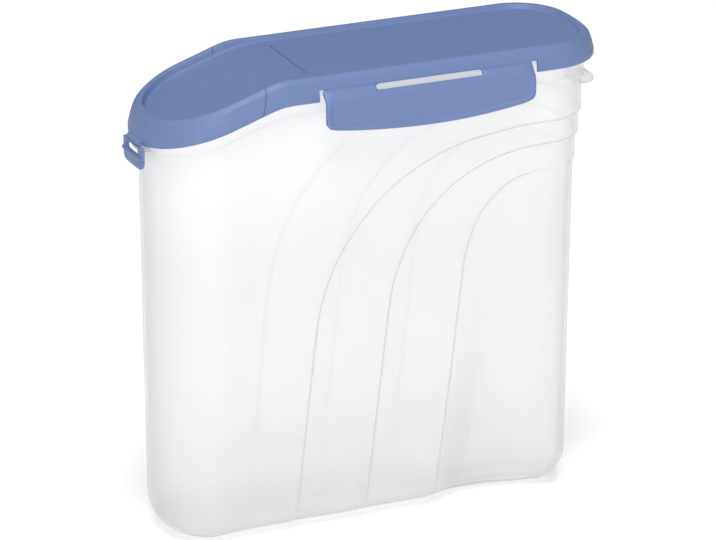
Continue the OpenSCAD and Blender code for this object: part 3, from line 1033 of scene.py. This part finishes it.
# %% [markdown]
# ### The front clip
#
# The clip is a small plate that hangs from the flap's skirt, with a window
# that snaps over a wedge on the tub and a ledge for the thumb. It follows the
# bow of the spout end, so its pattern is bent round that arc.

# %% The clip's pattern
CLIP_R = SPOUT_BOW + CLIP_FACE
CLIP_MID = CLIP_Z - 3.1


def clip_shape(flat, depth):
    """u runs across the clip, v is the height."""
    radius = CLIP_R - depth
    turn = flat[:, 0] / CLIP_R
    x = SPOUT_BOW - HALF_L - radius * np.cos(turn)
    return np.column_stack([x, -radius * np.sin(turn), flat[:, 1]])


def clip_parts():
    half, low = 12.5, CLIP_Z - 11.6
    outline = np.vstack([corner(-half + 4, low + 4, 4.0, 180, 270), corner(half - 4, low + 4, 4.0, 270, 360),
                         [(half, CLIP_Z - 0.8), (half - 0.3, CLIP_Z - 0.15), (half - 0.9, CLIP_Z)],
                         [(-half + 0.9, CLIP_Z), (-half + 0.3, CLIP_Z - 0.15), (-half, CLIP_Z - 0.8)]])
    window = np.vstack([corner(x, CLIP_MID + z, 0.7, start, start + 90, 3) for x, z, start in
                        ((-6.6, -0.9, 180), (6.6, -0.9, 270), (6.6, 1.2, 0), (-6.6, 1.2, 90))])
    dots = np.array([(a, low + b) for a in np.arange(-11, 12, 2.0) for b in np.arange(1.5, 11, 1.6)])
    parts = pattern_parts([densify(outline, 1.2), densify(window, 1.2)], [], dots, LID_T, clip_shape)
    top = CLIP_MID - 2.0
    section = rounded([(-0.8, top - 1.55, 0), (1.25, top - 1.35, 0.45), (1.15, top - 0.15, 0.45),
                       (-0.8, top, 0)])
    across = np.linspace(-13.5, 13.5, 25)
    taper = np.sqrt(np.clip(1 - (np.abs(across) / 13.52) ** 8, 0, 1)) * 0.9 + 0.1
    rows = []
    for out, z in section:
        flat = np.column_stack([across, top - 0.75 + (z - top + 0.75) * taper])
        rows.append(clip_shape(flat, -np.where(out > 0, out * taper, out)))
    grid = np.stack(rows, axis=1)
    parts.add(grid, tube_faces(*grid.shape[:2]))
    return parts


clip = clip_parts().mesh("front_clip_plate", BLUE, "clip")
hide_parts("front_clip")

# %% [markdown]
# ## Film hinges
#
# Polypropylene can be folded a hundred thousand times where it is moulded down
# to a film. The films join the pieces that the CAD model keeps apart by a
# narrow gap. Each is drawn as a thin strip across that gap, as it lies at rest,
# with a slight waist, and it rides on neither piece.

# %% Thin strips across the gaps between pieces
def film(name, corners, body_b):
    """A film over a strip, given the ends of its still edge, then of its moving edge."""
    (a, b), (d, c) = np.array(corners, dtype=float)
    t = np.linspace(0, 1, 13)[:, None, None]
    u = np.linspace(0, 1, 7)[None, :, None]
    left, right = a * (1 - t) + b * t, d * (1 - t) + c * t
    grid = left + (right - left) * u
    out = np.cross(grid[1, 0] - grid[0, 0], grid[0, -1] - grid[0, 0])
    out /= np.linalg.norm(out)
    waist = 0.22 + 0.10 * (2 * u - 1) ** 2
    rings = np.concatenate([grid + out * waist, (grid - out * waist)[:, ::-1]], axis=1)
    piece = make_mesh(name, rings.reshape(-1, 3), tube_faces(*rings.shape[:2]), BLUE, None, sharp=60)
    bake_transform(piece)


def crossways(half, still, moving):
    """Corners of a strip whose edges run across the lid, each at one X and Z."""
    return [[(x, side * half, z) for side in (-1, 1)] for x, z in (still, moving)]


for side, body in ((-1, "near_latch"), (1, "far_latch")):
    for tag, x0, x1 in (("front", -36.6, -9.3), ("rear", 48.0, 74.6)):
        film("%s_film_%s" % (body, tag),
             ([(x0, side * 38.28, 235.25), (x1, side * 38.28, 235.25)],
              [(x0, side * 38.84, 234.02), (x1, side * 38.84, 234.02)]),
             body)

film("flap_film", crossways(23.3, (-38.2, 238.2), (-39.9, 238.2)), "flap")
film("clip_film", crossways(8.0, (-120.7, 208.5), (-120.8, 207.3)), "clip")

# %% [markdown]
# ## Small features
#
# The brow carries the clip below the flap's skirt. The wedge on the tub snaps
# into the clip's window, and the shelf at the rear end gives a grip for the
# thumb.

# %% Brow, wedge and shelf
def swept(name, corners, half, bow, finish, body):
    """A section in X and Z carried along a bow, shrinking a little at both ends."""
    section = rounded(corners)
    mx, mz = section.mean(axis=0)
    inner = [(y, 1.0) for y in np.linspace(-half + 0.5, half - 0.5, 9)]
    widths = [(-half, 0.8), (-half + 0.15, 0.92)] + inner + [(half - 0.15, 0.92), (half, 0.8)]
    grid = np.array([[(mx + (x - mx) * g + y * y / (2 * bow), y, mz + (z - mz) * g)
                      for x, z in section] for y, g in widths])
    piece = make_mesh(name, grid.reshape(-1, 3), tube_faces(*grid.shape[:2]), finish, body, sharp=40)


swept("clip_brow", [(-119.4, 208.06, 0), (-121.9, 208.06, 0.4), (-121.9, 208.9, 0.6), (-119.2, 211.3, 0)],
      8.5, 135.0, BLUE, "flap")
swept("tub_wedge", [(-113.8, 203.3, 0), (-119.6, 203.3, 0.35), (-119.6, 205.2, 0.5), (-113.8, 206.6, 0)],
      5.6, SPOUT_BOW, MILK, "tub")
swept("tub_rear_shelf", [(113.9, 215.6, 0), (119.0, 214.9, 4.0), (124.4, 211.6, 2.6), (124.4, 208.4, 1.4),
                         (121.8, 207.6, 0.8), (113.9, 207.6, 0)], 7.0, -REAR_BOW, MILK, "tub")

# %% [markdown]
# ## Studio
#
# A round white cove, one broad soft light above, a weaker one in front that
# shines in under the lid, a weak one from behind for the back of the lid, and a
# little light from the air. Out to a metre the floor glows faintly, so it reads
# as plain white with a soft contact shadow. It is darker farther out, so that
# the tub's edges stay visible against it.

# %% Floor
def stage_floor():
    paint = Paint("studio_white")
    place = paint.node("TexCoord", out=3)
    cloud = paint.grain(place, 3.0)
    away = paint.node("VectorMath", {"operation": "LENGTH"}, {0: place}, out=1)
    rise = paint.ramp(away, 0.15, 0.75, 0.85, 1.0)
    fall = paint.ramp(away, 1.0, 2.6, 1.0, 0.40)
    near = paint.blend(cloud, (0.93, 0.93, 0.93, 1), (0.95, 0.95, 0.95, 1))
    tint = paint.blend(fall, (0.48, 0.48, 0.48, 1), near)
    glow = paint.blend(rise * fall, (0, 0, 0, 1), (1, 1, 1, 1))
    material = paint.surface(Base_Color=tint, Roughness=0.9, Specular_IOR_Level=0.1,
                             Emission_Color=glow, Emission_Strength=0.39)
    bm = bmesh.new()
    profile = [(0.25, 0.0), (0.6, 0.0), (1.2, 0.0), (2.4, 0.0), (4.2, 0.0), (6.5, 0.0), (6.95, 0.08),
               (7.25, 0.3), (7.4, 0.7), (7.45, 1.4), (7.45, 3.3)]
    turns = [Vector((math.cos(a), math.sin(a), 0)) for a in np.radians(np.arange(0, 360, 7.5))]
    rings = [[bm.verts.new(t * r + Vector((0, 0, z))) for t in turns] for r, z in profile]
    bm.faces.new(rings[0])
    for a, b in zip(rings, rings[1:]):
        for k in range(len(turns)):
            j = (k + 1) % len(turns)
            bm.faces.new([a[k], b[k], b[j], a[j]])
    floor = finish_mesh("studio_floor", bm, material, None)


stage_floor()


# %% Lights and camera
FRAME_WIDTH = 716.0
FOCAL = 6040.8
EYE = (-1126.75, -2593.35, 1174.62)
AIM = (-2.30, -1.4, 123.94)


def soft_light(name, place, aim, size, power):
    lamp = bpy.data.lights.new(name, "AREA")
    lamp.shape = "RECTANGLE"
    lamp.size, lamp.size_y = size
    lamp.energy = power
    light = bpy.data.objects.new(name, lamp)
    light.location = place
    light.rotation_euler = (Vector(aim) - Vector(place)).to_track_quat("-Z", "Y").to_euler()
    bpy.context.scene.collection.objects.link(light)


soft_light("key_top", (-0.36, -0.92, 3.04), (0, 0, 0.10), (1.5, 1.5), 74.5)
soft_light("fill_front", (-1.25, -2.90, 1.35), (0, 0, 0.12), (0.9, 0.9), 28.0)
soft_light("back", (-1.50, 2.30, 3.20), (0, 0, 0.12), (1.2, 1.2), 16.0)

world = bpy.data.worlds.new("studio_air")
world.use_nodes = True
air = world.node_tree.nodes["Background"].inputs
air["Color"].default_value = (1, 1, 1, 1)
air["Strength"].default_value = 0.04
bpy.context.scene.world = world
bpy.context.scene.view_settings.view_transform = "Standard"

lens = bpy.data.cameras.new("camera")
lens.sensor_width = 36.0
lens.lens = lens.sensor_width * FOCAL / FRAME_WIDTH
camera = bpy.data.objects.new("camera", lens)
camera.location = Vector(EYE) * MM
camera.rotation_euler = (Vector(AIM) * MM - camera.location).to_track_quat("-Z", "Y").to_euler()
lens.clip_end = 20.0
bpy.context.scene.collection.objects.link(camera)
bpy.context.scene.camera = camera
